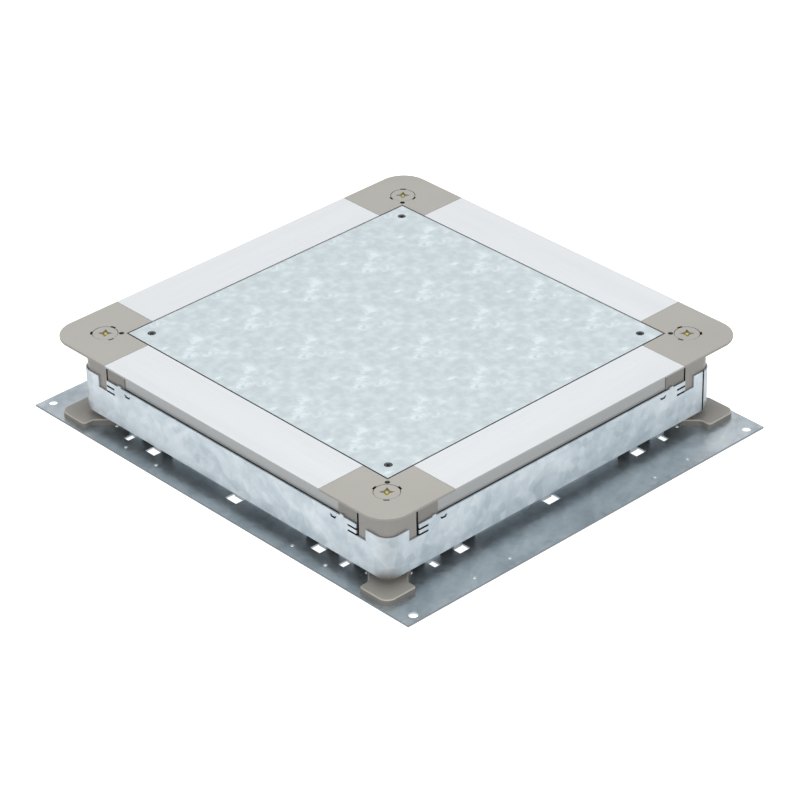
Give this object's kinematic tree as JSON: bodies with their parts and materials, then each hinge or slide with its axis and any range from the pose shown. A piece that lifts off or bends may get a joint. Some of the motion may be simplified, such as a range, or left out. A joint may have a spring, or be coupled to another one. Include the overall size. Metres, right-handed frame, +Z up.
{
  "type": "underfloor junction box",
  "caption": "Flat square underfloor junction box: base plate with corner feet, height-adjustable frame with side band, plastic corner caps and a screwed blank lid.",
  "frame": {"origin": "middle of the base plate's underside", "axes": "+Z up, X along the longer side of the base plate"},
  "size_m": [0.41, 0.367, 0.0734],
  "materials": {
    "galvanised_sheet": "hot-dip galvanised sheet, satin, faint spangle",
    "galvanised_lid": "hot-dip galvanised plate, satin, cloudy spangle",
    "anodised_aluminium": "natural anodised, satin",
    "greige_plastic": "fine moulded grain",
    "yellow_zinc": "yellow passivated zinc",
    "dark_screw": "black zinc",
    "zinc_nut": "bright zinc",
    "brass_insert": "turned brass",
    "seal_rubber": "soft cell rubber"
  },
  "bodies": {
    "base": {"base_plate": "galvanised_sheet", "entry_panel_front": "galvanised_sheet", "entry_panel_right": "galvanised_sheet", "entry_panel_back": "galvanised_sheet", "entry_panel_left": "galvanised_sheet", "corner_foot_front_left": "greige_plastic", "corner_foot_front_right": "greige_plastic", "corner_foot_back_right": "greige_plastic", "corner_foot_back_left": "greige_plastic", "spindle_nuts": "zinc_nut", "earth_stud": "zinc_nut", "earth_washers": "zinc_nut", "earth_nut": "brass_insert"},
    "frame": {"frame_profile_front": "anodised_aluminium", "frame_profile_right": "anodised_aluminium", "frame_profile_back": "anodised_aluminium", "frame_profile_left": "anodised_aluminium", "corner_cap_front_left": "greige_plastic", "corner_cap_front_right": "greige_plastic", "corner_cap_back_right": "greige_plastic", "corner_cap_back_left": "greige_plastic", "side_band": "galvanised_sheet", "lid_seal": "seal_rubber", "lid_screw_inserts": "brass_insert", "profile_screws": "zinc_nut"},
    "lid": {"lid_plate": "galvanised_lid"},
    "spindle_front_left": {"levelling_spindle_front_left": "yellow_zinc"},
    "disc_front_left": {"spindle_disc_front_left": "greige_plastic"},
    "screw_front_left": {"lid_screw_front_left": "dark_screw"},
    "spindle_front_right": {"levelling_spindle_front_right": "yellow_zinc"},
    "disc_front_right": {"spindle_disc_front_right": "greige_plastic"},
    "screw_front_right": {"lid_screw_front_right": "dark_screw"},
    "spindle_back_right": {"levelling_spindle_back_right": "yellow_zinc"},
    "disc_back_right": {"spindle_disc_back_right": "greige_plastic"},
    "screw_back_right": {"lid_screw_back_right": "dark_screw"},
    "spindle_back_left": {"levelling_spindle_back_left": "yellow_zinc"},
    "disc_back_left": {"spindle_disc_back_left": "greige_plastic"},
    "screw_back_left": {"lid_screw_back_left": "dark_screw"}
  },
  "joints": [
    {"name": "frame_height", "type": "slide", "parent": "base", "child": "frame", "axis": [0, 0, 1], "range_m": [-0.0034, 0.0516]},
    {"name": "lid_lift", "type": "slide", "parent": "frame", "child": "lid", "axis": [0, 0, 1], "range_m": [0, 0.12]},
    {"name": "spindle_turn_front_left", "type": "hinge", "parent": "frame", "child": "spindle_front_left", "pos_m": [-0.1529, -0.1529, 0.068], "axis": [0, 0, 1], "range_deg": [-982, 14863]},
    {"name": "disc_turn_front_left", "type": "hinge", "parent": "frame", "child": "disc_front_left", "pos_m": [-0.1529, -0.1529, 0.0724], "axis": [0, 0, 1], "range_deg": [0, 60]},
    {"name": "lid_screw_turn_front_left", "type": "hinge", "parent": "lid", "child": "screw_front_left", "pos_m": [-0.1283, -0.1283, 0.07], "axis": [0, 0, 1], "continuous": true},
    {"name": "spindle_turn_front_right", "type": "hinge", "parent": "frame", "child": "spindle_front_right", "pos_m": [0.1529, -0.1529, 0.068], "axis": [0, 0, 1], "range_deg": [-982, 14863]},
    {"name": "disc_turn_front_right", "type": "hinge", "parent": "frame", "child": "disc_front_right", "pos_m": [0.1529, -0.1529, 0.0724], "axis": [0, 0, 1], "range_deg": [0, 60]},
    {"name": "lid_screw_turn_front_right", "type": "hinge", "parent": "lid", "child": "screw_front_right", "pos_m": [0.1283, -0.1283, 0.07], "axis": [0, 0, 1], "continuous": true},
    {"name": "spindle_turn_back_right", "type": "hinge", "parent": "frame", "child": "spindle_back_right", "pos_m": [0.1529, 0.1529, 0.068], "axis": [0, 0, 1], "range_deg": [-982, 14863]},
    {"name": "disc_turn_back_right", "type": "hinge", "parent": "frame", "child": "disc_back_right", "pos_m": [0.1529, 0.1529, 0.0724], "axis": [0, 0, 1], "range_deg": [0, 60]},
    {"name": "lid_screw_turn_back_right", "type": "hinge", "parent": "lid", "child": "screw_back_right", "pos_m": [0.1283, 0.1283, 0.07], "axis": [0, 0, 1], "continuous": true},
    {"name": "spindle_turn_back_left", "type": "hinge", "parent": "frame", "child": "spindle_back_left", "pos_m": [-0.1529, 0.1529, 0.068], "axis": [0, 0, 1], "range_deg": [-982, 14863]},
    {"name": "disc_turn_back_left", "type": "hinge", "parent": "frame", "child": "disc_back_left", "pos_m": [-0.1529, 0.1529, 0.0724], "axis": [0, 0, 1], "range_deg": [0, 60]},
    {"name": "lid_screw_turn_back_left", "type": "hinge", "parent": "lid", "child": "screw_back_left", "pos_m": [-0.1283, 0.1283, 0.07], "axis": [0, 0, 1], "continuous": true}
  ],
  "couplings": [
    {"joint": "spindle_turn_front_left", "follows": "frame_height", "rad_per_m": 5026.5},
    {"joint": "spindle_turn_front_right", "follows": "frame_height", "rad_per_m": 5026.5},
    {"joint": "spindle_turn_back_right", "follows": "frame_height", "rad_per_m": 5026.5},
    {"joint": "spindle_turn_back_left", "follows": "frame_height", "rad_per_m": 5026.5}
  ]
}
